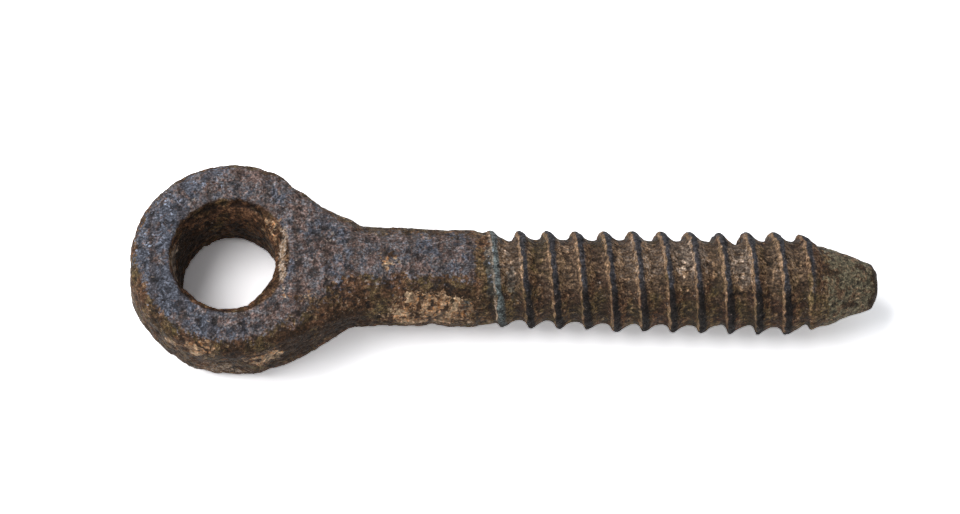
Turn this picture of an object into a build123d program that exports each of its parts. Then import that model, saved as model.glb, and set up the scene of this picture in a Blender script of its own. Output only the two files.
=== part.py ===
from build123d import *

import os
from math import atan, degrees, sqrt

# Forged screw eye: a round bar, upset and punched into a thick eye at one end
# and cut with a coarse wood-screw thread at the other, all one piece of iron.
#
# Frame: the origin is the middle of the eye, +Z runs up through its hole and
# +X runs along the shank to the point. Millimetres throughout.

# ---------------------------------------------------------------- dimensions

eye_diameter = 44.6          # across the eye, flank to flank
eye_thickness = 21.8         # between the two flat faces of the eye
eye_edge_radius = 4.0        # hammered round of the eye's outer edges
eye_edge_flats = 3           # flats that the hammer left across that round
hole_diameter = 22.0         # the punched hole at its waist
hole_bevel_width = 2.4       # worn lead-in round each mouth of the hole, radially
hole_bevel_depth = 2.8       # and along the hole

shank_diameter = 21.7        # the round bar that the whole piece is forged from
shank_drift = 1.0            # the shank left the eye's centre line by this much
shank_length = 17.5          # plain round bar between neck and thread run-out
neck_length = 36.0           # from the eye's centre to the start of the plain shank
neck_root = 10.9             # from the eye's centre to where the flanks leave the eye
neck_seat = 2.0              # the neck starts this much deeper inside the eye
neck_step = 0.05             # it lies this much inside the eye's faces and outside the bar
drift_length = 7.0           # the neck leans over to the shank's line within this
flank_end = 26.3             # from the eye's centre to where the flanks meet the bar
flank_blend = 1.7            # hollow that eases the flanks into the bar
rounding_end = 30.0          # where the neck's long edges have become fully round
neck_spans = 4               # equal spans between the sections that carry its form
neck_squareness = 1.12       # of the section at the eye: 1 is nearly square-cornered

thread_pitch = 6.35          # four turns to the inch, right-hand
thread_height = 1.95         # crest above root
thread_length = 70.5         # from the run-out's start to where the crests begin to fade
thread_growth = 1.5          # the crests gain this much diameter along the thread
crest_start_diameter = 21.6  # over the crests where the ridge leaves the shank
crest_width = 0.9            # worn land on top of the ridge
bearing_flank = 0.9          # run of the steep flank, towards the eye
leading_flank = 2.5          # run of the sloping flank, towards the point
flank_overrun = 0.6          # both flanks run on this far below the core's skin
ridge_foot = 1.0             # and the ridge is rooted this much deeper still
ridge_lead_in = 1.45         # the ridge starts this far back inside the plain shank
run_out = 8.0                # length over which the plain shank falls to the core

crest_clearance = 0.5        # the turning that fades the crests starts this far outside them
fade_overrun = 0.9           # and meets the bar this far past the start of the taper
point_shoulder = 9.0         # from the fading crests to the start of the taper
point_shoulder_diameter = 17.6
point_length = 10.8          # the hammered taper itself
point_end_diameter = 9.7     # blunt end of the taper, before its bevel
point_bevel = 1.6            # bevel round the blunt end
point_facets = 4             # hammer flats drawn along the taper
facet_depth = 0.55           # sunk into the taper by this much
facet_turn = 18.0            # the flats are turned by this many degrees

# ------------------------------------------------------------ derived values

ROUND_HANDLE = 4 / 3 * (sqrt(2) - 1)  # handle that makes a Bezier quarter round

eye_radius = eye_diameter / 2
hole_radius = hole_diameter / 2
half_thickness = eye_thickness / 2
shank_radius = shank_diameter / 2
shoulder_radius = point_shoulder_diameter / 2
end_radius = point_end_diameter / 2

shank_axis = Axis((0, -shank_drift, 0), (1, 0, 0))
shank_plane = Plane(origin=(0, -shank_drift, 0), x_dir=(1, 0, 0), z_dir=(0, 0, 1))

neck_start = neck_root - neck_seat
run_out_start = neck_length + shank_length
run_out_end = run_out_start + run_out
fade_start = run_out_start + thread_length
taper_start = fade_start + point_shoulder
point_end = taper_start + point_length

fade_end = taper_start + fade_overrun
ridge_start = run_out_start - ridge_lead_in
thread_slope = thread_growth / 2 / thread_length


def crest_radius(x):
    """Radius over the crests at this distance from the eye's centre."""
    return crest_start_diameter / 2 + thread_slope * (x - ridge_start)


def core_radius(x):
    """Radius of the core between the crests."""
    return crest_radius(x) - thread_height


# ------------------------------------------------------- eye: a thick round disc

with BuildPart() as eye:
    with BuildSketch(Plane.XZ):
        with BuildLine():
            edge_middle = Vector(eye_radius - eye_edge_radius, half_thickness - eye_edge_radius)
            spoke = Vector(0, eye_edge_radius)
            upper = [
                edge_middle + spoke.rotate(Axis.Z, -90 * flat / eye_edge_flats)
                for flat in range(eye_edge_flats + 1)
            ]
            lower = [Vector(corner.X, -corner.Y) for corner in reversed(upper)]
            Polyline((0, half_thickness), *upper, *lower, (0, -half_thickness), close=True)
        make_face()
    revolve(axis=Axis.Z)

# ------- neck: squarish sections at the eye that narrow and turn round to the bar


def share(x, start, end):
    """How far x has come from start to end, between 0 and 1."""
    return min(max((x - start) / (end - start), 0), 1)


def flank_half_width(x):
    """Half the neck's width: straight flanks, eased into the bar at their end."""
    root_half_width = sqrt(eye_radius**2 - neck_root**2)
    slope = (root_half_width - shank_radius) / (flank_end - neck_root)
    rise = slope * (flank_end - x)
    return shank_radius + (rise + sqrt(rise**2 + flank_blend**2)) / 2


def neck_half_height(x):
    """Half the neck's thickness, from the eye's to the bar's."""
    eye_height = half_thickness - neck_step
    bar_height = shank_radius + neck_step
    return eye_height + (bar_height - eye_height) * share(x, neck_start, neck_length)


def handle_length(x):
    """Length of the section's curve handles, from squarish at the eye to round."""
    rounding = share(x, neck_root, rounding_end) ** 2
    return neck_squareness + (ROUND_HANDLE - neck_squareness) * rounding


with BuildPart() as neck:
    for station in range(neck_spans + 1):
        x = neck_start + (neck_length - neck_start) * station / neck_spans
        drift = shank_drift * share(x, neck_start, neck_start + drift_length)
        side = Vector(min(flank_half_width(x), sqrt(eye_radius**2 - neck_start**2)), 0)
        crown = Vector(0, neck_half_height(x))
        handle = handle_length(x)
        station_plane = Plane(origin=(x, -drift, 0), x_dir=(0, 1, 0), z_dir=(1, 0, 0))
        with BuildSketch(station_plane):
            with BuildLine():
                for start, end in ((side, crown), (crown, -side), (-side, -crown), (-crown, side)):
                    Bezier(start, start + end * handle, end + start * handle, end)
            make_face()
    loft()

# -------- bar: plain shank, run-out, threaded core and blunt point in one turning

with BuildPart() as bar:
    with BuildSketch(shank_plane) as bar_half:
        with BuildLine():
            Polyline(
                (neck_length, 0),
                (neck_length, shank_radius),
                (run_out_start, shank_radius),
                (run_out_end, core_radius(run_out_end)),
                (fade_start, core_radius(fade_start)),
                (taper_start, shoulder_radius),
                (point_end, end_radius),
                (point_end, 0),
                close=True,
            )
        make_face()
        end_corner = bar_half.vertices().group_by(Axis.X)[-1].sort_by(Axis.Y)[-1]
        chamfer(end_corner, point_bevel)
    revolve(axis=shank_axis)

    # the smith's hammer left flats along the taper
    for facet in range(point_facets):
        outward = Vector(0, 1, 0).rotate(Axis.X, facet_turn + 360 / point_facets * facet)
        facet_foot = Vector(point_end, -shank_drift, 0) + outward * (end_radius - facet_depth)
        facet_normal = outward * point_length + Vector(shoulder_radius - end_radius, 0, 0)
        split(bisect_by=Plane(origin=facet_foot, z_dir=facet_normal), keep=Keep.BOTTOM)

# ------------- thread: a buttress ridge swept along a helix that widens slowly

with BuildPart() as thread:
    with BuildLine() as ridge_path:
        Helix(
            thread_pitch,
            taper_start + thread_pitch / 2 - ridge_start,
            crest_radius(ridge_start),
            center=(ridge_start, -shank_drift, 0),
            direction=(1, 0, 0),
            cone_angle=degrees(atan(thread_slope)),
        )
    ridge_plane = Plane(
        origin=(ridge_start, -shank_drift, 0), x_dir=(1, 0, 0), z_dir=(0, -1, 0)
    )
    with BuildSketch(ridge_plane):
        with BuildLine():
            ridge_top = crest_radius(ridge_start)
            ridge_root = core_radius(ridge_start) - flank_overrun
            overrun = 1 + flank_overrun / thread_height
            foot_back = -crest_width / 2 - bearing_flank * overrun
            foot_front = crest_width / 2 + leading_flank * overrun
            Polyline(
                (-crest_width / 2, ridge_top),
                (crest_width / 2, ridge_top),
                (foot_front, ridge_root),
                (foot_front, ridge_root - ridge_foot),
                (foot_back, ridge_root - ridge_foot),
                (foot_back, ridge_root),
                close=True,
            )
        make_face()
    sweep(path=ridge_path.line, is_frenet=True)

    # the last turns run down to the core, as a worn point does
    with BuildSketch(shank_plane):
        with BuildLine():
            clear_top = crest_radius(fade_start) + crest_clearance
            Polyline(
                (neck_length, 0),
                (neck_length, clear_top),
                (fade_start, clear_top),
                (fade_end, shoulder_radius),
                (fade_end, 0),
                close=True,
            )
        make_face()
    revolve(axis=shank_axis, mode=Mode.INTERSECT)

# --------------------------------------------------- the whole piece, one solid

with BuildPart() as screw_eye:
    add(eye.part)
    add(neck.part)
    add(bar.part)
    add(thread.part)

    # the punched hole, worn wide at both mouths
    with BuildSketch(Plane.XZ):
        with BuildLine():
            mouth_radius = hole_radius + hole_bevel_width
            waist = half_thickness - hole_bevel_depth
            Polyline(
                (0, half_thickness),
                (mouth_radius, half_thickness),
                (hole_radius, waist),
                (hole_radius, -waist),
                (mouth_radius, -half_thickness),
                (0, -half_thickness),
                close=True,
            )
        make_face()
    revolve(axis=Axis.Z, mode=Mode.SUBTRACT)

screw_eye.part.label = "screw_eye"

os.makedirs("parts", exist_ok=True)
export_step(screw_eye.part, "parts/screw_eye.step")
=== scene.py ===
import math

import bmesh
import bpy
from mathutils import Matrix, Vector


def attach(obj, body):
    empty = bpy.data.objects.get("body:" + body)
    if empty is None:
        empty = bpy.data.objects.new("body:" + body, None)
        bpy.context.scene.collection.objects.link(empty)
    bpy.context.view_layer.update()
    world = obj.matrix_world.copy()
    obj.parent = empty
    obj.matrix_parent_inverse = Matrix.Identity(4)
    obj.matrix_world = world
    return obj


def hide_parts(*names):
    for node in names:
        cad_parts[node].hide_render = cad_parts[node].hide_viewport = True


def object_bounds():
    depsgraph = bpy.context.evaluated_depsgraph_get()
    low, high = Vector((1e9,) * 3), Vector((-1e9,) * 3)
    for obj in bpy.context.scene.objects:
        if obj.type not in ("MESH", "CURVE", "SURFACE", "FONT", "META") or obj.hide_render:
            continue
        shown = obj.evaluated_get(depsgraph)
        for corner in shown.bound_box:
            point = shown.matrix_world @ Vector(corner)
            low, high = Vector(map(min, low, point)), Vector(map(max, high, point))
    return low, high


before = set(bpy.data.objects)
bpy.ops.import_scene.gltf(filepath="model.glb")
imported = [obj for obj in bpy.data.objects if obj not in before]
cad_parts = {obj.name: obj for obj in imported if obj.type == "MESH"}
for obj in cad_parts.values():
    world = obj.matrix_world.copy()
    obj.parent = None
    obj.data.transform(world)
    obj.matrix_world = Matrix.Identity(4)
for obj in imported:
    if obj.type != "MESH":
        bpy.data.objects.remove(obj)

# Looks of the old forged screw eye: one piece of rusted, pitted iron that lies
# on a pale floor. Lengths are metres, and those named _mm are millimetres.

MM = 0.001
CAD_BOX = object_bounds()
EYE_NODE = "screw_eye"

# ---------------------------------------------------------------- sizes, in mm

SHANK_DRIFT_MM = 1.0          # the shank's axis lies this far to the -Y side
RIDGE_START_MM = 52.05        # where the thread's ridge starts, on top of the shank
THREAD_START_MM = 53.5        # where the shank begins to fall to the core
THREAD_END_MM = 133.0         # where the last turn has run out
CREST_START_MM = 10.8         # crest radius at the ridge's start
CREST_SLOPE = 0.0107          # the crests' gain in radius per millimetre
THREAD_HEIGHT_MM = 1.95
THREAD_PITCH_MM = 6.35
HOLE_RADIUS_MM = 11.0
EYE_HALF_MM = 10.9            # half the eye's thickness
HOLE_LEAN_MM = (-0.9, -0.9, 0.0)  # the punched hole leans this way below its mouth
HOLE_FAR_SIDE = (-0.6, 0.8, 0.0)  # direction in which its far wall lies
MOUTH_HOLLOW_MM = 1.1         # that wall stands back this much under the mouth
LIP_FILL_MM = 1.0             # its lip towards the shank stands in this much
FAR_CREST_MM = 0.15           # the crests keep this much more height on the far side
NEAR_ROOT_MM = 0.13           # and the roots this much on the near side
LAST_TURN_WEAR_MM = 0.45      # the end of the last turn is worn down by this much
CREASE_MM = (22.3, -3.9)      # a point of the crease that crosses the top of the neck
CREASE_NORMAL = (0.784, -0.62)  # and the direction square to it, to the near side

THREAD_CALM = 0.45            # share of the skin's roughness that the thread lacks
SIDE_CALM = 0.30              # and that upright sides lack

JOIN_MM = 0.002               # corners of the loose triangles are joined within this
BOX_INSET_MM = 0.01           # the skin stays this far inside the solid's box
VOXEL_MM = 0.47               # step of the fine mesh
SMOOTHING_PASSES = 3
EASING_PASSES = 40            # blur that eases the end of the last turn
EDGE_PASSES = 8               # blur that tells edges from hollows
EDGE_REACH_MM = 0.10          # a full edge stands this far out of the blurred skin


# ------------------------------------------------------------- node-tree tools

def add_node(tree, kind, inputs=None, **settings):
    """One node with its settings, and each input set to a value or linked to a socket."""
    node = tree.nodes.new(kind)
    for name, value in settings.items():
        setattr(node, name, value)
    for key, value in (inputs or {}).items():
        if isinstance(value, bpy.types.NodeSocket):
            tree.links.new(value, node.inputs[key])
        else:
            node.inputs[key].default_value = value
    return node


def calculate(tree, operation, *values):
    """A Math node's result."""
    inputs = dict(enumerate(values))
    return add_node(tree, "ShaderNodeMath", inputs, operation=operation).outputs[0]


def product(tree, *shares):
    """All the shares multiplied."""
    result = shares[0]
    for share in shares[1:]:
        result = calculate(tree, "MULTIPLY", result, share)
    return result


def ramp(tree, value, start, end, low=0.0, high=1.0):
    """value's smooth passage from low at start to high at end."""
    inputs = {"Value": value, "From Min": start, "From Max": end, "To Min": low, "To Max": high}
    node = add_node(tree, "ShaderNodeMapRange", inputs, interpolation_type="SMOOTHSTEP")
    return node.outputs["Result"]


def band(tree, value, start, end, edge):
    """1 between start and end, with edges that are soft over the named width."""
    rise = ramp(tree, value, start - edge / 2, start + edge / 2)
    fall = ramp(tree, value, end - edge / 2, end + edge / 2, low=1.0, high=0.0)
    return calculate(tree, "MULTIPLY", rise, fall)


def cloud(tree, place, size_mm, detail=3.0, roughness=0.55, distortion=0.0):
    """Noise from about 0.25 to 0.75 whose lumps are about size_mm across."""
    inputs = {"Vector": place, "Scale": 1 / size_mm, "Detail": detail,
              "Roughness": roughness, "Distortion": distortion}
    return add_node(tree, "ShaderNodeTexNoise", inputs).outputs[0]


def wobble(tree, place, size_mm, span, detail=3.0, roughness=0.55, distortion=0.0):
    """The same noise stretched to the named span, about zero."""
    noise = cloud(tree, place, size_mm, detail, roughness, distortion)
    return calculate(tree, "MULTIPLY_ADD", noise, span, -span / 2)


def vector_math(tree, operation, *values, scale=None):
    """A Vector Math node's result: a number for a length or dot product, else a vector."""
    inputs = dict(enumerate(values))
    if scale is not None:
        inputs["Scale"] = scale
    outputs = add_node(tree, "ShaderNodeVectorMath", inputs, operation=operation).outputs
    return outputs["Value"] if operation in ("LENGTH", "DOT_PRODUCT") else outputs["Vector"]


def reach_from(tree, place, centre_mm, radii_mm):
    """Distance from centre_mm, in units of the ellipsoid's radii."""
    offset = vector_math(tree, "SUBTRACT", place, centre_mm)
    scaled = vector_math(tree, "DIVIDE", offset, radii_mm)
    return vector_math(tree, "LENGTH", scaled)


def spot(tree, place, centre_mm, radii_mm):
    """1 in the middle of an ellipsoid, falling smoothly to 0 at its radii."""
    return ramp(tree, reach_from(tree, place, centre_mm, radii_mm), 1.0, 0.1)


def split_xyz(tree, place):
    """The three coordinates."""
    return add_node(tree, "ShaderNodeSeparateXYZ", {0: place}).outputs


def shank_radius_at(tree, place):
    """Distance from the shank's axis."""
    _, y, z = split_xyz(tree, place)
    across = calculate(tree, "ADD", y, SHANK_DRIFT_MM)
    square = calculate(tree, "MULTIPLY_ADD", across, across, calculate(tree, "MULTIPLY", z, z))
    return calculate(tree, "SQRT", square)


def thread_distance(tree, place):
    """Distance along the shank from the nearest crest's middle, towards the point positive."""
    x, y, z = split_xyz(tree, place)
    across = calculate(tree, "ADD", y, SHANK_DRIFT_MM)
    turn = calculate(tree, "DIVIDE", calculate(tree, "ARCTAN2", z, across), 2 * math.pi)
    along = calculate(tree, "DIVIDE", calculate(tree, "SUBTRACT", x, RIDGE_START_MM),
                      THREAD_PITCH_MM)
    # the ridge starts on top of the shank, a quarter turn round from +Y
    phase = calculate(tree, "ADD", calculate(tree, "SUBTRACT", along, turn), 0.75)
    centred = calculate(tree, "SUBTRACT", calculate(tree, "FRACT", phase), 0.5)
    return calculate(tree, "MULTIPLY", centred, THREAD_PITCH_MM)


# --------------------------------------------------- the forged and rusted skin

# Hammer blows, laps and worn corners that the smith and the years left:
# middle, radii and depth in millimetres, outwards positive.
HAMMER_MARKS = [
    ((-21.0, -8.5, -2.0), (9.0, 11.0, 12.0), 1.25),    # full lower left of the eye
    ((-16.0, -16.0, -3.0), (5.0, 5.0, 9.0), 0.45),
    ((-19.0, 11.0, 0.0), (6.0, 7.0, 12.0), 0.50),
    ((-9.0, -20.5, -2.0), (5.0, 4.0, 10.0), 0.45),
    ((-0.5, -22.5, -2.0), (6.0, 5.0, 9.0), -1.00),
    ((6.0, -21.5, -3.0), (4.0, 5.0, 9.0), 0.60),
    ((2.0, 22.0, 0.0), (8.0, 5.0, 12.0), 0.25),
    ((13.5, 17.5, 0.0), (3.5, 4.0, 14.0), -0.85),      # far flank, drawn in
    ((19.5, 14.0, 0.0), (6.0, 4.5, 14.0), -0.85),
    ((26.0, 12.0, 3.0), (3.5, 4.0, 9.0), 0.55),        # and the lap folded over at its end
    ((36.0, 10.0, 1.0), (9.0, 5.0, 9.0), 0.40),
    ((9.0, -18.0, 10.0), (9.0, 5.0, 6.0), -0.60),
    ((-6.0, -20.0, 9.0), (9.0, 5.0, 6.0), -0.55),
    ((-17.0, -12.0, 10.0), (8.0, 7.0, 5.0), -0.45),
    ((18.0, -13.5, 10.0), (6.0, 6.0, 6.0), -1.00),     # the crease that crosses the neck
    ((24.5, -9.0, 10.0), (7.0, 6.0, 6.0), -1.10),
    ((25.5, -13.0, -2.0), (4.5, 5.0, 10.0), -0.85),
    ((19.0, 2.0, 11.5), (5.0, 8.0, 4.0), -0.35),
    ((45.0, -12.0, -1.0), (4.5, 4.0, 9.0), -0.75),     # rust has eaten the near side
    ((43.0, -7.0, 8.0), (8.0, 5.0, 6.0), -0.35),
    ((57.5, -8.0, -3.0), (2.2, 5.0, 7.0), 0.40),
    ((57.0, 6.0, 8.0), (2.6, 7.0, 7.0), 0.50),
    ((61.6, 9.0, 2.0), (1.8, 5.0, 9.0), -0.45),
    ((86.0, -10.0, -2.0), (6.0, 4.0, 8.0), 0.40),
    ((112.0, 9.0, 2.0), (2.2, 4.5, 8.0), -1.40),
    ((107.0, 9.0, 2.0), (1.8, 4.0, 8.0), -0.60),
    ((110.0, -10.5, -2.0), (2.0, 4.0, 8.0), -0.45),
    ((116.0, -10.5, -2.0), (1.8, 4.0, 8.0), -0.55),
    ((128.3, -10.5, -2.0), (1.6, 4.0, 8.0), -0.45),
    ((129.8, 9.0, 2.0), (1.6, 5.0, 9.0), -0.70),
    ((133.6, -7.7, 5.7), (1.0, 1.2, 1.6), -0.45),
    ((135.5, -9.0, -2.5), (5.0, 4.0, 8.0), 0.55),
    ((141.0, -7.0, -2.0), (5.0, 4.0, 8.0), 0.50),
]


def skin_sockets(tree):
    """The skin's named inputs, each with its value in millimetres."""
    tree.interface.new_socket("Geometry", in_out="INPUT", socket_type="NodeSocketGeometry")
    sizes = [("Swell", 0.16), ("Swell Size", 17.0), ("Dent", 0.20), ("Dent Size", 8.0),
             ("Flake", 0.28), ("Flake Size", 3.0), ("Pit", 0.26), ("Pit Size", 2.2),
             ("Grain", 0.16), ("Grain Size", 1.2), ("Crest Wear", 0.45), ("Nick Size", 2.6)]
    for name, value in sizes:
        socket = tree.interface.new_socket(name, in_out="INPUT", socket_type="NodeSocketFloat")
        socket.default_value = value
    for name in ("Box Low", "Box High"):
        tree.interface.new_socket(name, in_out="INPUT", socket_type="NodeSocketVector")
    tree.interface.new_socket("Iron", in_out="INPUT", socket_type="NodeSocketMaterial")
    tree.interface.new_socket("Geometry", in_out="OUTPUT", socket_type="NodeSocketGeometry")


def sized_cloud(tree, place, size, detail, roughness=0.55, distortion=0.0):
    """Noise from about -0.25 to 0.25, whose lump size is a socket."""
    inputs = {"Vector": place, "Scale": calculate(tree, "DIVIDE", 1.0, size), "Detail": detail,
              "Roughness": roughness, "Distortion": distortion}
    noise = add_node(tree, "ShaderNodeTexNoise", inputs).outputs[0]
    return calculate(tree, "SUBTRACT", noise, 0.5)


def sized_cells(tree, place, size):
    """A Voronoi node whose cell size is a socket."""
    inputs = {"Vector": place, "Scale": calculate(tree, "DIVIDE", 1.0, size)}
    return add_node(tree, "ShaderNodeTexVoronoi", inputs)


def crest_share(tree, place):
    """How near a point is to the thread's crest, from 0 at the core to 1."""
    x = split_xyz(tree, place)[0]
    along = calculate(tree, "SUBTRACT", x, RIDGE_START_MM)
    crest = calculate(tree, "MULTIPLY_ADD", along, CREST_SLOPE, CREST_START_MM)
    depth = calculate(tree, "SUBTRACT", crest, shank_radius_at(tree, place))
    share = ramp(tree, depth, THREAD_HEIGHT_MM, 0.0)
    begun = ramp(tree, x, THREAD_START_MM, THREAD_START_MM + 3.0)
    ended = ramp(tree, x, THREAD_END_MM, THREAD_END_MM - 2.0)
    return product(tree, share, begun, ended)


def warped(tree, place, size_mm, reach_mm):
    """Place shifted by noise, so that what is drawn on it is ragged."""
    noise = add_node(tree, "ShaderNodeTexNoise", {"Vector": place, "Scale": 1 / size_mm})
    shift = vector_math(tree, "SUBTRACT", noise.outputs["Color"], (0.5, 0.5, 0.5))
    shift = vector_math(tree, "SCALE", shift, scale=reach_mm * 2)
    return vector_math(tree, "ADD", place, shift)


def pits(tree, place, size):
    """Rust pits, from 0 to 1: ragged hollows of all sizes, in most of the cells."""
    pit_cells = sized_cells(tree, warped(tree, place, 1.6, 1.6), size["Pit Size"])
    chance = add_node(tree, "FunctionNodeSeparateColor", {0: pit_cells.outputs["Color"]})
    reach = calculate(tree, "MULTIPLY_ADD", chance.outputs[0], 0.9, -0.32)
    depth = calculate(tree, "SUBTRACT", reach, pit_cells.outputs["Distance"])
    return ramp(tree, depth, -0.12, 0.30)


def skin_relief(tree, place, size):
    """The skin's height over the clean form, in millimetres, and its pits from 0 to 1."""
    swell = sized_cloud(tree, place, size["Swell Size"], 1.0)
    relief = product(tree, swell, size["Swell"], 2.0)
    dent = sized_cells(tree, place, size["Dent Size"]).outputs["Distance"]
    dent = product(tree, ramp(tree, dent, 0.75, 0.1), size["Dent"])
    relief = calculate(tree, "SUBTRACT", relief, dent)
    flake = sized_cloud(tree, place, size["Flake Size"], 4.0, roughness=0.6, distortion=0.4)
    flake = ramp(tree, flake, -0.08, 0.10, low=-0.5, high=0.5)
    relief = calculate(tree, "MULTIPLY_ADD", flake, size["Flake"], relief)
    pit = pits(tree, place, size)
    relief = calculate(tree, "SUBTRACT", relief, product(tree, pit, size["Pit"]))
    grain = sized_cloud(tree, place, size["Grain Size"], 2.0)
    grain = product(tree, grain, size["Grain"], 2.0)
    return calculate(tree, "ADD", relief, grain), pit


def relief_share(tree, place, rise):
    """How rough each part is: the thread and all upright sides are smoother."""
    x = split_xyz(tree, place)[0]
    threaded = ramp(tree, x, THREAD_START_MM - 3.0, THREAD_START_MM + 3.0)
    side = ramp(tree, calculate(tree, "ABSOLUTE", rise), 0.7, 0.2)
    threaded = calculate(tree, "MULTIPLY_ADD", threaded, -THREAD_CALM, 1.0)
    side = calculate(tree, "MULTIPLY_ADD", side, -SIDE_CALM, 1.0)
    return calculate(tree, "MULTIPLY", threaded, side)


def eye_distance(tree, place):
    """Distance from the axis of the eye."""
    return vector_math(tree, "LENGTH", vector_math(tree, "MULTIPLY", place, (1.0, 1.0, 0.0)))


def leaning_hole(tree, place):
    """Shift of the wall of the hole, which was punched askew and has a sharp far lip."""
    z = split_xyz(tree, place)[2]
    wall = ramp(tree, eye_distance(tree, place), HOLE_RADIUS_MM + 3.5, HOLE_RADIUS_MM + 0.8)
    below = ramp(tree, z, EYE_HALF_MM, EYE_HALF_MM - 5.0)
    lean = vector_math(tree, "SCALE", HOLE_LEAN_MM, scale=product(tree, wall, below))

    flat = vector_math(tree, "MULTIPLY", place, (1.0, 1.0, 0.0))
    outward = vector_math(tree, "NORMALIZE", flat)
    far = ramp(tree, vector_math(tree, "DOT_PRODUCT", outward, HOLE_FAR_SIDE), -0.1, 0.5)
    under = product(tree, ramp(tree, z, EYE_HALF_MM - 0.2, EYE_HALF_MM - 2.4),
                    ramp(tree, z, EYE_HALF_MM - 9.0, EYE_HALF_MM - 2.4))
    hollow = product(tree, wall, far, under, MOUTH_HOLLOW_MM)
    right = ramp(tree, split_xyz(tree, outward)[0], 0.35, 0.85)
    filled = product(tree, wall, right, ramp(tree, z, EYE_HALF_MM - 5.0, EYE_HALF_MM - 1.0))
    outwards = calculate(tree, "MULTIPLY_ADD", filled, -LIP_FILL_MM, hollow)
    return vector_math(tree, "ADD", lean, vector_math(tree, "SCALE", outward, scale=outwards))


def blurred_position(tree, passes):
    """The surface's position, smoothed over its neighbours."""
    position = add_node(tree, "GeometryNodeInputPosition").outputs[0]
    blurred = add_node(tree, "GeometryNodeBlurAttribute",
                       {"Iterations": passes}, data_type="FLOAT_VECTOR")
    vector_in = [s for s in blurred.inputs if s.enabled and s.type == "VECTOR"][0]
    tree.links.new(position, vector_in)
    return [s for s in blurred.outputs if s.enabled][0]


def relaxed(tree, position, place):
    """Position, eased where the last turn of the thread runs out on the point."""
    blurred = blurred_position(tree, EASING_PASSES)
    x = split_xyz(tree, place)[0]
    share = band(tree, x, THREAD_END_MM - 2.5, THREAD_END_MM + 3.0, 2.0)
    mix = add_node(tree, "ShaderNodeMix", data_type="VECTOR")
    sockets = [socket for socket in mix.inputs if socket.enabled]
    for socket, value in zip(sockets, (share, position, blurred)):
        tree.links.new(value, socket)
    return [socket for socket in mix.outputs if socket.enabled][0]


def store(tree, geometry, name, value):
    """Stores a value on the mesh for the finish to read."""
    node = add_node(tree, "GeometryNodeStoreNamedAttribute",
                    {"Geometry": geometry, "Name": name, "Value": value})
    return node.outputs[0]


def store_bulge(tree, geometry, name, passes, reach_mm):
    """Stores how far the skin stands out of its blurred self: 0 hollow, 0.5 flat, 1 edge."""
    position = add_node(tree, "GeometryNodeInputPosition").outputs[0]
    normal = add_node(tree, "GeometryNodeInputNormal").outputs[0]
    offset = vector_math(tree, "SUBTRACT", position, blurred_position(tree, passes))
    height = vector_math(tree, "DOT_PRODUCT", offset, normal)
    return store(tree, geometry, name, ramp(tree, height, -reach_mm * MM, reach_mm * MM))


def thread_fullness(tree, place, crest):
    """Height that the crests keep on the far side and the roots on the near side."""
    x, y, _ = split_xyz(tree, place)
    threaded = product(tree, ramp(tree, x, THREAD_START_MM + 3.0, THREAD_START_MM + 8.0),
                       ramp(tree, x, THREAD_END_MM - 3.0, THREAD_END_MM - 6.0))
    crests = product(tree, ramp(tree, y, 3.0, 7.0), ramp(tree, crest, 0.4, 0.8), FAR_CREST_MM)
    roots = product(tree, ramp(tree, y, -4.0, -8.0), ramp(tree, crest, 0.3, 0.0), NEAR_ROOT_MM)
    return product(tree, threaded, calculate(tree, "ADD", crests, roots))


def hammered(tree, place, relief):
    """The relief with every hammer mark on it."""
    for centre, radii, depth in HAMMER_MARKS:
        mark = spot(tree, place, centre, radii)
        relief = calculate(tree, "MULTIPLY_ADD", mark, depth, relief)
    return relief


def last_turn_wear(tree, place):
    """How far the end of the last turn is worn down, from 0 to 1."""
    x, y, _ = split_xyz(tree, place)
    run_out = band(tree, x, THREAD_END_MM - 2.6, THREAD_END_MM + 1.0, 1.5)
    return product(tree, run_out, ramp(tree, y, -5.0, 3.0))


def whole_relief(tree, place, rise, size):
    """The skin's height over the clean form in millimetres, its pits and its crests."""
    relief, pit = skin_relief(tree, place, size)
    relief = calculate(tree, "MULTIPLY", relief, relief_share(tree, place, rise))
    crest = crest_share(tree, place)
    nick = ramp(tree, sized_cloud(tree, place, size["Nick Size"], 2.0), -0.02, 0.22)
    worn = product(tree, nick, crest, size["Crest Wear"])
    relief = calculate(tree, "SUBTRACT", relief, worn)
    relief = calculate(tree, "ADD", relief, thread_fullness(tree, place, crest))
    relief = hammered(tree, place, relief)
    end = last_turn_wear(tree, place)
    return calculate(tree, "MULTIPLY_ADD", end, -LAST_TURN_WEAR_MM, relief), pit, crest


def pushed_out(tree, position, normal, place, relief, size):
    """Where each point of the skin comes to lie, inside the solid's box."""
    push = vector_math(tree, "SCALE", normal, scale=calculate(tree, "MULTIPLY", relief, MM))
    lean = vector_math(tree, "SCALE", leaning_hole(tree, place), scale=MM)
    moved = vector_math(tree, "ADD", relaxed(tree, position, place), push)
    moved = vector_math(tree, "ADD", moved, lean)
    kept = vector_math(tree, "MAXIMUM", moved, size["Box Low"])
    return vector_math(tree, "MINIMUM", kept, size["Box High"])


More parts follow.
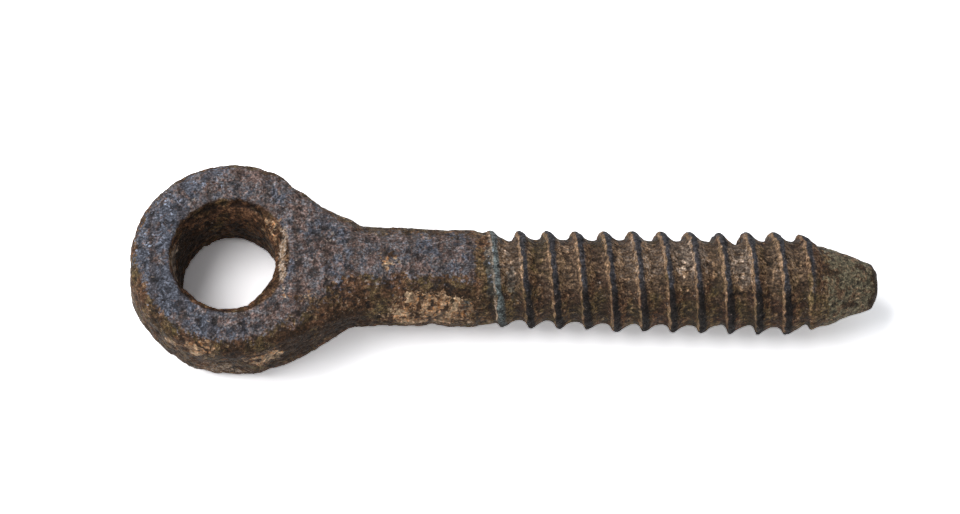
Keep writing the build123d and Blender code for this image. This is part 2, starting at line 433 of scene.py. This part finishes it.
def skin_tree():
    """Geometry nodes that turn the clean form into a hammered, pitted and rusted one."""
    tree = bpy.data.node_groups.new("Rusted skin", "GeometryNodeTree")
    skin_sockets(tree)
    size = add_node(tree, "NodeGroupInput").outputs
    position = add_node(tree, "GeometryNodeInputPosition").outputs[0]
    normal = add_node(tree, "GeometryNodeInputNormal").outputs[0]
    rise = split_xyz(tree, normal)[2]
    place = vector_math(tree, "SCALE", position, scale=1 / MM)
    relief, pit, crest = whole_relief(tree, place, rise, size)
    moved = pushed_out(tree, position, normal, place, relief, size)

    geometry = size["Geometry"]
    for name, value in (("pit", pit), ("crest", crest), ("rise", rise)):
        geometry = store(tree, geometry, name, value)
    geometry = add_node(tree, "GeometryNodeSetPosition",
                        {"Geometry": geometry, "Position": moved}).outputs[0]
    geometry = store_bulge(tree, geometry, "edge", EDGE_PASSES, EDGE_REACH_MM)
    real = add_node(tree, "GeometryNodeRealizeInstances", {"Geometry": geometry})
    dressed = add_node(tree, "GeometryNodeSetMaterial",
                       {"Geometry": real.outputs[0], "Material": size["Iron"]})
    add_node(tree, "NodeGroupOutput", {0: dressed.outputs[0]})
    return tree


def set_input(modifier, name, value):
    """Sets a geometry-nodes input by its identifier."""
    for item in modifier.node_group.interface.items_tree:
        if item.item_type == "SOCKET" and item.in_out == "INPUT" and item.name == name:
            modifier[item.identifier] = value


def clean_copy(node_name, name):
    """A copy of a CAD node's mesh, with its loose triangles joined."""
    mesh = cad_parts[node_name].data.copy()
    mesh.name = name
    shape = bmesh.new()
    shape.from_mesh(mesh)
    bmesh.ops.remove_doubles(shape, verts=shape.verts, dist=JOIN_MM * MM)
    shape.to_mesh(mesh)
    shape.free()
    mesh.materials.clear()
    piece = bpy.data.objects.new(name, mesh)
    bpy.context.scene.collection.objects.link(piece)
    return piece


def forged_iron(material):
    """The whole screw eye as one fine mesh with its forged, rusted skin."""
    piece = clean_copy(EYE_NODE, "screw_eye_iron")
    remesh = piece.modifiers.new("fine mesh", "REMESH")
    remesh.mode = "VOXEL"
    remesh.voxel_size = VOXEL_MM * MM
    soften = piece.modifiers.new("soften", "SMOOTH")
    soften.factor = 0.5
    soften.iterations = SMOOTHING_PASSES
    skin = piece.modifiers.new("rusted skin", "NODES")
    skin.node_group = skin_tree()
    set_input(skin, "Box Low", [c + BOX_INSET_MM * MM for c in CAD_BOX[0]])
    set_input(skin, "Box High", [c - BOX_INSET_MM * MM for c in CAD_BOX[1]])
    set_input(skin, "Iron", material)
    bpy.context.view_layer.update()
    finished = piece.evaluated_get(bpy.context.evaluated_depsgraph_get())
    mesh = bpy.data.meshes.new_from_object(finished)
    piece.modifiers.clear()
    piece.data = mesh
    mesh.shade_smooth()
    return piece


# ------------------------------------------------------------- the iron's finish

# the blue of the scale: its own colour, partly a painted reflection of the pale sky
SCALE_BLUE_AND_SHEEN = (0.112, 0.121, 0.152)
SCALE_GREY = (0.180, 0.171, 0.179)
SCALE_BROWN = (0.195, 0.125, 0.106)
SCALE_TEAL = (0.190, 0.222, 0.220)
# painted highlight: the blue-white of the glints where the window's light would catch the scale
PAINTED_GLINT = (0.620, 0.700, 0.900)
BLACK = (0.016, 0.014, 0.015)
# dark rust, and also the colour of the painted shade
DARK_RUST_AND_SHADE = (0.048, 0.025, 0.013)
RUST_BROWN = (0.175, 0.088, 0.048)
RUST_OLIVE = (0.165, 0.116, 0.052)
RUST_TAN = (0.420, 0.270, 0.165)
RUST_ORANGE = (0.430, 0.190, 0.070)
RUST_CREAM = (0.620, 0.440, 0.280)
RUST_PALE = (0.600, 0.480, 0.390)
POINT_OLIVE = (0.186, 0.162, 0.105)
POINT_GREY = (0.275, 0.275, 0.212)

IRON_GLOSS = 0.22             # specular level of the rusted skin
BUMP_MM = 0.55                # height of the finest grain

# Patches: middle and radii in millimetres, and strength.
ORANGE_PATCHES = [
    ((44.0, -10.5, 4.5), (10.5, 5.0, 7.0), 1.0),       # the big one on the shank's near side
    ((35.0, 0.0, 10.8), (3.0, 3.5, 3.0), 0.55),
    ((-6.2, -20.4, 7.0), (4.5, 3.0, 3.8), 0.85),       # the eye's near wall
    ((8.2, -20.8, 3.2), (5.5, 3.5, 4.5), 0.90),
    ((-12.5, -18.0, 5.0), (2.5, 3.0, 3.0), 0.70),
    ((9.5, 7.5, 6.0), (3.0, 4.0, 5.0), 0.95),          # the hole's right wall
    ((16.0, -9.0, 9.5), (7.0, 2.0, 3.0), 0.50),        # grains along the neck's crease
]
TAN_PATCHES = [
    ((11.7, 0.5, 9.0), (1.3, 9.5, 4.0), 0.70),         # worn lip of the hole
    ((-12.9, -1.0, 6.5), (2.0, 5.5, 3.5), 0.90),
    ((25.5, 11.5, 6.5), (5.5, 3.2, 3.6), 0.42),        # the lap
    ((-22.0, -5.0, 3.0), (2.5, 7.5, 5.0), 0.45),
    ((-2.0, -22.5, -4.0), (8.0, 3.0, 5.0), 0.50),
]
PALE_ROOTS = [
    ((62.0, 1.0, 9.0), (5.0, 8.0, 6.0), 0.8),
    ((74.0, 0.0, 9.0), (8.0, 8.0, 6.0), 0.5),
    ((90.0, 1.0, 9.0), (9.0, 8.0, 6.0), 0.8),
    ((101.0, 2.0, 9.0), (7.0, 8.0, 6.0), 1.0),
    ((112.0, 2.0, 9.0), (6.0, 8.0, 6.0), 1.0),
    ((122.0, 1.0, 9.0), (7.0, 8.0, 6.0), 0.6),
]
# Painted shade in hollows, on walls turned from the window and on the end, and darker spots on
# the point.
SHADE_AND_DARK_PATCHES = [
    ((-10.5, 3.0, 2.0), (5.0, 12.0, 7.5), 1.00),       # painted shade on the hole's left wall
    ((14.0, -18.0, 3.0), (7.5, 4.5, 9.0), 1.60),       # painted shade in the hollow between eye and neck
    ((24.0, -13.0, 2.0), (9.0, 6.0, 8.0), 0.95),
    ((1.5, -21.2, 7.0), (3.8, 3.0, 5.0), 0.90),
    ((47.5, -7.4, 8.2), (8.0, 2.2, 2.6), 1.00),        # painted shade in the hollow above the rust
    ((56.0, -9.0, 5.0), (4.0, 3.0, 6.0), 0.60),
    ((144.2, -1.0, 0.0), (3.0, 8.0, 8.0), 2.00),       # painted shade on the hammered end
    ((137.0, -6.8, 4.2), (6.0, 0.8, 1.3), 0.80),       # the flats on the point
    ((131.8, -0.6, 8.2), (2.6, 1.6, 2.0), 0.70),
    ((139.5, 1.5, 6.0), (2.2, 1.2, 2.0), 0.65),
]
TEAL_PATCHES = [
    ((57.8, -1.0, 9.5), (2.0, 8.0, 7.0), 1.00),        # scale left where the thread starts
    ((62.0, -4.0, 9.0), (1.8, 5.0, 5.0), 0.60),
    # painted blue shade at the lower end of the shank
    ((52.0, -9.5, 5.5), (2.2, 3.0, 4.0), 0.60),
]
# Painted highlights: where blue-white glints are painted on the scale.
PAINTED_GLINT_PATCHES = [
    ((-18.5, 3.5, 10.0), (4.0, 6.0, 4.0), 1.0),        # painted highlights on the scale left of the hole
    ((-15.0, 11.0, 10.0), (4.0, 4.5, 4.0), 1.0),
    ((-6.0, 18.0, 10.0), (7.0, 4.0, 4.0), 0.9),
    ((-13.0, -10.0, 10.5), (6.0, 5.0, 3.0), 0.6),
    ((57.6, 0.0, 10.5), (1.4, 5.0, 3.0), 0.8),         # and on the thread's first turn
]


def mixed(tree, share, first, second):
    """A colour between first and second."""
    node = add_node(tree, "ShaderNodeMix", data_type="RGBA")
    sockets = [s for s in node.inputs if s.enabled]
    for socket, value in zip(sockets, (share, first, second)):
        if isinstance(value, bpy.types.NodeSocket):
            tree.links.new(value, socket)
        elif isinstance(value, tuple):
            socket.default_value = (*value, 1.0)
        else:
            socket.default_value = value
    return [s for s in node.outputs if s.enabled][0]


def attribute(tree, name):
    """A value stored on the mesh."""
    return add_node(tree, "ShaderNodeAttribute", attribute_name=name).outputs["Fac"]


def speckled(tree, place, colour, size_mm, strength):
    """The colour, lighter and darker from grain to grain."""
    doublings = wobble(tree, place, size_mm, strength, detail=2.0, roughness=0.6)
    return vector_math(tree, "SCALE", colour, scale=calculate(tree, "POWER", 2.0, doublings))


def stippled(tree, place, share):
    """A share that comes and goes in grains where it is neither 0 nor 1."""
    grain = wobble(tree, place, 0.9, 1.3, roughness=0.65, distortion=0.4)
    return ramp(tree, calculate(tree, "ADD", share, grain), 0.36, 0.62)


def patches(tree, place, spots, ragged):
    """Ragged patches, 0 to 1."""
    total = None
    for centre, radii, strength in spots:
        reach = calculate(tree, "ADD", reach_from(tree, place, centre, radii), ragged)
        patch = ramp(tree, reach, 1.25, 0.35, high=strength)
        total = patch if total is None else calculate(tree, "MAXIMUM", total, patch)
    return total


def forge_scale(tree, place, x):
    """Blue-grey and purple-brown scale in lumps of all sizes, turning bluer towards the window as
    a painted sheen.
    """
    coarse = cloud(tree, place, 4.5, detail=5.0, roughness=0.7, distortion=0.4)
    # painted sheen: the scale turns bluer towards the window
    painted_blue_sheen = ramp(tree, x, 6.0, -20.0, high=0.16)
    hue = calculate(tree, "SUBTRACT", coarse, painted_blue_sheen)
    colour = mixed(tree, ramp(tree, hue, 0.38, 0.52), SCALE_BLUE_AND_SHEEN, SCALE_GREY)
    fine = cloud(tree, place, 0.8, roughness=0.7, distortion=0.5)
    brown = calculate(tree, "MULTIPLY_ADD", hue, 0.9, fine)
    return mixed(tree, ramp(tree, brown, 0.86, 1.06, high=0.9), colour, SCALE_BROWN)


def brown_rust(tree, place):
    """Brown rust with olive and dark lumps."""
    coarse = cloud(tree, place, 5.0, detail=5.0, roughness=0.65, distortion=0.4)
    colour = mixed(tree, ramp(tree, coarse, 0.42, 0.60), RUST_BROWN, RUST_OLIVE)
    lumps = cloud(tree, place, 3.6, detail=5.0, roughness=0.7, distortion=0.6)
    colour = mixed(tree, ramp(tree, lumps, 0.47, 0.56, high=0.6), colour, DARK_RUST_AND_SHADE)
    grain = cloud(tree, place, 0.9, roughness=0.7, distortion=0.5)
    colour = mixed(tree, ramp(tree, grain, 0.48, 0.60, high=0.9), colour, DARK_RUST_AND_SHADE)
    return mixed(tree, ramp(tree, grain, 0.42, 0.34, high=0.8), colour, RUST_TAN)


def thread_rust(tree, place):
    """Brown and tan rust in the thread's roots, drawn out into fine lines along the shank."""
    drawn = vector_math(tree, "MULTIPLY", place, (0.45, 1.0, 1.0))
    fine = cloud(tree, drawn, 0.8, roughness=0.7, distortion=0.4)
    coarse = cloud(tree, place, 6.0, detail=4.0, roughness=0.65)
    colour = mixed(tree, ramp(tree, coarse, 0.40, 0.62), RUST_BROWN, RUST_OLIVE)
    bright = patches(tree, place, PALE_ROOTS, calculate(tree, "SUBTRACT", coarse, 0.5))
    level = calculate(tree, "MULTIPLY_ADD", bright, 0.38, fine)
    colour = mixed(tree, ramp(tree, level, 0.50, 0.72, high=0.9), colour, RUST_TAN)
    colour = mixed(tree, ramp(tree, level, 0.76, 0.92, high=0.7), colour, RUST_PALE)
    return mixed(tree, ramp(tree, fine, 0.45, 0.34, high=0.8), colour, DARK_RUST_AND_SHADE)


def point_rust(tree, place):
    """Olive-brown of the point, greyer along its far side."""
    y = split_xyz(tree, place)[1]
    far = stippled(tree, place, ramp(tree, y, 1.0, 9.0, low=0.1, high=0.7))
    colour = mixed(tree, far, POINT_OLIVE, POINT_GREY)
    lumps = cloud(tree, place, 3.0, detail=5.0, roughness=0.7, distortion=0.5)
    colour = mixed(tree, ramp(tree, lumps, 0.50, 0.62, high=0.7), colour, RUST_BROWN)
    grain = cloud(tree, place, 0.8, roughness=0.7, distortion=0.5)
    colour = mixed(tree, ramp(tree, grain, 0.55, 0.68, high=0.8), colour, RUST_TAN)
    return mixed(tree, ramp(tree, grain, 0.44, 0.34, high=0.8), colour, DARK_RUST_AND_SHADE)


def crest_scale(tree, place, near, first):
    """Nearly black scale on the crests, with teal streaks on the first turn."""
    level = calculate(tree, "ADD", cloud(tree, place, 1.2), near)
    scale = mixed(tree, ramp(tree, level, 0.85, 0.35, high=0.44), BLACK, SCALE_BLUE_AND_SHEEN)
    streaks = cloud(tree, place, 1.6, roughness=0.6, distortion=0.3)
    streaks = ramp(tree, streaks, 0.42, 0.58, low=0.25)
    return mixed(tree, calculate(tree, "MULTIPLY", first, streaks), scale, SCALE_TEAL)


def crest_band(tree, y, near, distance):
    """Where a crest is dark, from 0 to 1: dark scale on the crest and painted shade on its side
    towards the point, in a band that is wider on the far and near sides.
    """
    far = ramp(tree, y, 3.0, 10.0)
    edge = calculate(tree, "ADD", calculate(tree, "ADD", far, 0.80), near)
    past_edge = calculate(tree, "SUBTRACT", distance, edge)
    return product(tree, ramp(tree, past_edge, 0.35, -0.35), ramp(tree, distance, -0.55, -0.2))


def worn_and_lit_line(tree, place, distance, first):
    """The broken pale line along each crest's bearing edge, from 0 to 1: partly wear, partly
    painted light where that flank faces the window.
    """
    broken = ramp(tree, cloud(tree, place, 2.2), 0.36, 0.52)
    return product(tree, band(tree, distance, -0.90, -0.45, 0.25), broken,
                   ramp(tree, attribute(tree, "crest"), 0.35, 0.7),
                   calculate(tree, "MULTIPLY_ADD", first, 0.3, 0.6))


def point_share(tree, place, x):
    """Where the thread's rust gives way to the point's, with a frayed edge."""
    fray = wobble(tree, place, 5.0, 10.0, detail=5.0, roughness=0.7)
    along = calculate(tree, "ADD", x, fray)
    return stippled(tree, place, ramp(tree, along, THREAD_END_MM - 5.0, THREAD_END_MM + 3.0))


def threaded_colour(tree, place, x, y, colour):
    """Brown roots; on each crest's bearing edge a pale line, partly wear and partly painted
    light; a dark crest with painted shade on its side towards the point.
    """
    ragged = wobble(tree, place, 1.8, 1.5)
    distance = calculate(tree, "ADD", thread_distance(tree, place), ragged)
    begun = stippled(tree, place, ramp(tree, x, THREAD_START_MM - 3.0, THREAD_START_MM + 4.0))
    first = stippled(tree, place, ramp(tree, x, THREAD_START_MM + 12.0, THREAD_START_MM + 4.0))
    ended = ramp(tree, x, THREAD_END_MM + 0.5, THREAD_END_MM - 1.5)
    result = mixed(tree, begun, colour, thread_rust(tree, place))

    near = ramp(tree, y, -3.0, -10.0, high=0.5)
    # painted shade on each crest's leading flank, which faces away from the window
    flank = product(tree, ramp(tree, distance, 2.6, 1.0), ramp(tree, distance, 0.0, 0.6), ended)
    result = mixed(tree, calculate(tree, "MULTIPLY", flank, 0.45), result, DARK_RUST_AND_SHADE)
    # dark scale on the crest, with painted shade on its side towards the point
    dark = product(tree, crest_band(tree, y, near, distance), ended,
                   ramp(tree, attribute(tree, "crest"), 0.15, 0.5), 0.95)
    result = mixed(tree, dark, result, crest_scale(tree, place, near, first))
    # the pale line: partly wear, partly painted light on the flank that faces the window
    line = calculate(tree, "MULTIPLY", worn_and_lit_line(tree, place, distance, first), ended)
    pale = mixed(tree, calculate(tree, "MULTIPLY", first, 0.5), RUST_TAN, RUST_PALE)
    result = mixed(tree, line, result, pale)
    return mixed(tree, point_share(tree, place, x), result, point_rust(tree, place))


def front_of_neck(tree, x, y, ragged):
    """1 on the neck's near side, below the crease that crosses it slantwise."""
    (crease_x, crease_y), (along, across) = CREASE_MM, CREASE_NORMAL
    beyond = calculate(tree, "MULTIPLY_ADD", y, across, -across * crease_y)
    from_crease = calculate(tree, "SUBTRACT", x, crease_x)
    beyond = calculate(tree, "MULTIPLY_ADD", from_crease, along, beyond)
    beyond = calculate(tree, "ADD", beyond, ragged)
    near = ramp(tree, calculate(tree, "ADD", y, ragged), -1.5, -6.0)
    return calculate(tree, "MULTIPLY", ramp(tree, beyond, -0.5, 2.0), near)


def orange_crust(tree, place):
    """Orange rust in lumps and grains, cream on the lumps and dark between them."""
    grain = cloud(tree, place, 0.8, roughness=0.7, distortion=0.5)
    lumps = cloud(tree, place, 3.2, detail=4.0, roughness=0.65, distortion=0.5)
    colour = mixed(tree, ramp(tree, grain, 0.46, 0.62), RUST_TAN, RUST_ORANGE)
    colour = mixed(tree, ramp(tree, lumps, 0.52, 0.60, high=0.80), colour, RUST_CREAM)
    colour = mixed(tree, ramp(tree, lumps, 0.48, 0.43, high=0.95), colour, DARK_RUST_AND_SHADE)
    colour = speckled(tree, place, colour, 0.5, 5.0)
    return speckled(tree, place, colour, 1.2, 5.0)


def tan_edge(tree, place):
    """Tan and pale grains of a worn edge."""
    grain = cloud(tree, place, 0.8, roughness=0.7, distortion=0.5)
    colour = mixed(tree, ramp(tree, grain, 0.42, 0.58), RUST_PALE, RUST_TAN)
    return speckled(tree, place, colour, 0.6, 5.0)


def crusted(tree, place, ragged, colour):
    """The colour, with crusts of orange rust and pale worn edges."""
    for spots, crust in ((ORANGE_PATCHES, orange_crust(tree, place)),
                         (TAN_PATCHES, tan_edge(tree, place))):
        share = stippled(tree, place, patches(tree, place, spots, ragged))
        colour = mixed(tree, share, colour, crust)
    return colour


def scale_share(tree, place, ragged):
    """Where forge scale has stayed: on the flats, less below the neck's crease and at the rim."""
    x, y, _ = split_xyz(tree, place)
    flatness = calculate(tree, "ABSOLUTE", attribute(tree, "rise"))
    flat = ramp(tree, calculate(tree, "MULTIPLY_ADD", ragged, 0.35, flatness), 0.45, 0.95)
    drift = wobble(tree, place, 7.0, 12.0, detail=4.0, roughness=0.7)
    front = front_of_neck(tree, x, y, calculate(tree, "ADD", ragged, drift))
    from_eye = calculate(tree, "ADD", eye_distance(tree, place), ragged)
    rim = product(tree, ramp(tree, from_eye, 17.0, 20.5),
                  ramp(tree, y, 4.0, -8.0), ramp(tree, x, 20.0, 12.0))
    worn = calculate(tree, "MAXIMUM", front, rim)
    kept = calculate(tree, "MULTIPLY_ADD", worn, -0.65, 1.0)
    return stippled(tree, place, calculate(tree, "MULTIPLY", flat, kept))


def hole_colour(tree, place, ragged, colour):
    """The colour, with brown and olive rust on the wall of the hole."""
    from_eye = calculate(tree, "MULTIPLY_ADD", ragged, 0.5, eye_distance(tree, place))
    inside = ramp(tree, from_eye, HOLE_RADIUS_MM + 2.6, HOLE_RADIUS_MM + 1.8)
    brown = ramp(tree, cloud(tree, place, 2.5, detail=4.0, roughness=0.65), 0.4, 0.6)
    olive = ramp(tree, cloud(tree, place, 4.0), 0.5, 0.65, high=0.6)
    wall = mixed(tree, olive, mixed(tree, brown, DARK_RUST_AND_SHADE, RUST_BROWN), RUST_OLIVE)
    return mixed(tree, inside, colour, wall)


def weathered(tree, place, ragged, colour):
    """The colour, with painted shade in the hollows, black in the pits, pale flecks and a few
    painted highlights (glints).
    """
    # painted shade: the hollows of the skin are darkened as if shaded
    hollow = ramp(tree, attribute(tree, "edge"), 0.42, 0.10, high=0.65)
    colour = mixed(tree, hollow, colour, BLACK)
    pit = calculate(tree, "MULTIPLY", attribute(tree, "pit"), 0.25)
    colour = mixed(tree, pit, colour, BLACK)
    flecks = cloud(tree, place, 1.1, detail=4.0, roughness=0.75, distortion=0.5)
    flecks = ramp(tree, flecks, 0.635, 0.69, high=0.8)
    colour = mixed(tree, flecks, colour, RUST_PALE)
    # painted highlights: blue-white glints painted in the patches below
    painted_glint = cloud(tree, place, 1.3, detail=4.0, roughness=0.7, distortion=0.3)
    painted_glint = product(tree, ramp(tree, painted_glint, 0.60, 0.66),
                    patches(tree, place, PAINTED_GLINT_PATCHES, ragged))
    return mixed(tree, painted_glint, colour, PAINTED_GLINT)


def iron_colour(tree, place):
    """The colour all over: scale on top, rust at the sides, in the hole and on the thread, with
    painted shade and painted highlights.
    """
    x, y, _ = split_xyz(tree, place)
    ragged = wobble(tree, place, 2.2, 2.6, detail=5.0, roughness=0.7)
    colour = mixed(tree, scale_share(tree, place, ragged),
                   brown_rust(tree, place), forge_scale(tree, place, x))
    colour = hole_colour(tree, place, ragged, colour)
    colour = threaded_colour(tree, place, x, y, colour)
    # teal scale with a painted blue shade, and dark patches that are mostly painted shade
    for spots, strength, tint in ((TEAL_PATCHES, 0.45, SCALE_TEAL),
                                  (SHADE_AND_DARK_PATCHES, 0.88, DARK_RUST_AND_SHADE)):
        share = stippled(tree, place, patches(tree, place, spots, ragged))
        colour = mixed(tree, calculate(tree, "MULTIPLY", share, strength), colour, tint)
    colour = speckled(tree, place, colour, 0.45, 7.0)
    colour = speckled(tree, place, colour, 1.0, 4.0)
    colour = crusted(tree, place, ragged, colour)
    return weathered(tree, place, ragged, colour)


def rusted_iron():
    """Old iron: blue-grey forge scale, its blue partly a painted sheen, over brown rust, tan on
    worn edges.
    """
    material = bpy.data.materials.new("rusted_iron")
    material.use_nodes = True
    tree = material.node_tree
    tree.nodes.clear()
    coordinates = add_node(tree, "ShaderNodeTexCoord").outputs["Object"]
    place = vector_math(tree, "SCALE", coordinates, scale=1 / MM)

    gloss = cloud(tree, place, 1.4, detail=4.0, roughness=0.6)
    roughness = ramp(tree, gloss, 0.38, 0.62, low=0.26, high=0.72)
    grain = cloud(tree, place, 0.9, detail=5.0, roughness=0.75, distortion=0.3)
    bump = add_node(tree, "ShaderNodeBump",
                    {"Height": grain, "Strength": 1.0, "Distance": BUMP_MM * MM})
    surface = add_node(tree, "ShaderNodeBsdfPrincipled",
                       {"Base Color": iron_colour(tree, place), "Roughness": roughness,
                        "Specular IOR Level": IRON_GLOSS, "Normal": bump.outputs[0]})
    add_node(tree, "ShaderNodeOutputMaterial", {"Surface": surface.outputs[0]})
    return material


# ---------------------------------------------------------- floor, light, camera

FLOOR_HALF = 1.5              # half the floor's width, metres
FLOOR_GREY = (0.80, 0.80, 0.80, 1.0)
FLOOR_LIFT = (1.86, 1.86, 1.92, 1.0)  # added for the camera, so that the floor shows white
WORLD_TINT = (0.94, 0.97, 1.0, 1.0)
WORLD_LEVEL = 0.27            # light from all round
WHITE = (1.0, 1.0, 1.0, 1.0)

# Lamps: name, place in metres, width, level and tint.
LAMPS = [
    ("window", (-0.47, 0.16, 0.70), 0.75, 0.80, (1.0, 0.99, 0.98)),
    ("fill", (0.20, -0.75, 0.50), 0.60, 0.11, (1.0, 0.97, 0.93)),
]
LAMP_TARGET = (0.05, 0.0, 0.0)  # metres

CAMERA_ELEVATION = 71.5       # degrees above the floor
CAMERA_SWING = -1.95          # degrees round from straight in front
CAMERA_ROLL = 2.88
CAMERA_TARGET_MM = (55.1, 4.16, 0.0)
CAMERA_DISTANCE_MM = 543.4
CAMERA_LENS_MM = 90.85
CAMERA_CLIP = 0.01            # metres


def resting_plane(piece):
    """The eye's lowest point, and the floor's slope from there to the thread's lowest."""
    places = [v.co for v in piece.data.vertices]
    heel = min((p for p in places if p.x < 0), key=lambda p: p.z)
    toe = min((p for p in places if p.x > THREAD_START_MM * MM), key=lambda p: p.z)
    return heel, (toe.z - heel.z) / (toe.x - heel.x)


def pale_floor(piece):
    """A wide floor, white to the camera, that keeps the piece's shadow."""
    heel, slope = resting_plane(piece)
    signs = [(-1, -1), (1, -1), (1, 1), (-1, 1)]
    corners = [(x * FLOOR_HALF, y * FLOOR_HALF) for x, y in signs]
    points = [(x, y, heel.z + slope * (x - heel.x)) for x, y in corners]
    mesh = bpy.data.meshes.new("floor")
    mesh.from_pydata(points, [], [(0, 1, 2, 3)])
    floor = bpy.data.objects.new("floor", mesh)
    bpy.context.scene.collection.objects.link(floor)

    material = bpy.data.materials.new("pale_floor")
    material.use_nodes = True
    tree = material.node_tree
    tree.nodes.clear()
    plain = add_node(tree, "ShaderNodeBsdfDiffuse", {"Color": FLOOR_GREY})
    lifted = add_node(tree, "ShaderNodeBsdfDiffuse", {"Color": FLOOR_LIFT})
    bright = add_node(tree, "ShaderNodeAddShader", {0: plain.outputs[0], 1: lifted.outputs[0]})
    seen = add_node(tree, "ShaderNodeLightPath").outputs["Is Camera Ray"]
    shown = add_node(tree, "ShaderNodeMixShader",
                     {0: seen, 1: plain.outputs[0], 2: bright.outputs[0]})
    add_node(tree, "ShaderNodeOutputMaterial", {"Surface": shown.outputs[0]})
    mesh.materials.append(material)


def soft_lamp(name, place, width, level, tint):
    """A square lamp whose light gives a facing surface the named level."""
    data = bpy.data.lights.new(name, "AREA")
    data.size = width
    data.color = tint
    away = Vector(LAMP_TARGET) - Vector(place)
    data.energy = level * math.pi**2 * away.length_squared
    lamp = bpy.data.objects.new(name, data)
    lamp.location = place
    lamp.rotation_euler = away.to_track_quat("-Z", "Y").to_euler()
    bpy.context.scene.collection.objects.link(lamp)


def studio_light():
    """Pale surroundings, a broad window light from the far left and a weak fill."""
    world = bpy.data.worlds.new("surroundings")
    world.use_nodes = True
    bpy.context.scene.world = world
    tree = world.node_tree
    tree.nodes.clear()
    soft = add_node(tree, "ShaderNodeBackground",
                    {"Color": WORLD_TINT, "Strength": WORLD_LEVEL})
    white = add_node(tree, "ShaderNodeBackground", {"Color": WHITE})
    seen = add_node(tree, "ShaderNodeLightPath").outputs["Is Camera Ray"]
    shown = add_node(tree, "ShaderNodeMixShader",
                     {0: seen, 1: soft.outputs[0], 2: white.outputs[0]})
    add_node(tree, "ShaderNodeOutputWorld", {0: shown.outputs[0]})
    for name, place, width, level, tint in LAMPS:
        soft_lamp(name, place, width, level, tint)


def overhead_camera():
    """The camera, nearly overhead, with a long lens."""
    elevation = math.radians(CAMERA_ELEVATION)
    swing = math.radians(CAMERA_SWING)
    roll = math.radians(CAMERA_ROLL)
    away = Vector((math.sin(swing) * math.cos(elevation),
                   -math.cos(swing) * math.cos(elevation), math.sin(elevation)))
    target = Vector(CAMERA_TARGET_MM) * MM
    level_right = (-away).cross(Vector((0, 0, 1))).normalized()
    level_up = level_right.cross(-away)
    right = level_right * math.cos(roll) + level_up * math.sin(roll)
    up = level_up * math.cos(roll) - level_right * math.sin(roll)
    data = bpy.data.cameras.new("camera")
    data.lens = CAMERA_LENS_MM
    data.clip_start = CAMERA_CLIP
    camera = bpy.data.objects.new("camera", data)
    turn = Matrix((right, up, away)).transposed()
    stand = target + away * CAMERA_DISTANCE_MM * MM
    camera.matrix_world = Matrix.Translation(stand) @ turn.to_4x4()
    bpy.context.scene.collection.objects.link(camera)
    bpy.context.scene.camera = camera


# ------------------------------------------------------------------ the assembly

iron = forged_iron(rusted_iron())
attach(iron, "root")
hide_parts(EYE_NODE)
pale_floor(iron)
studio_light()
overhead_camera()
bpy.context.scene.view_settings.view_transform = "Standard"
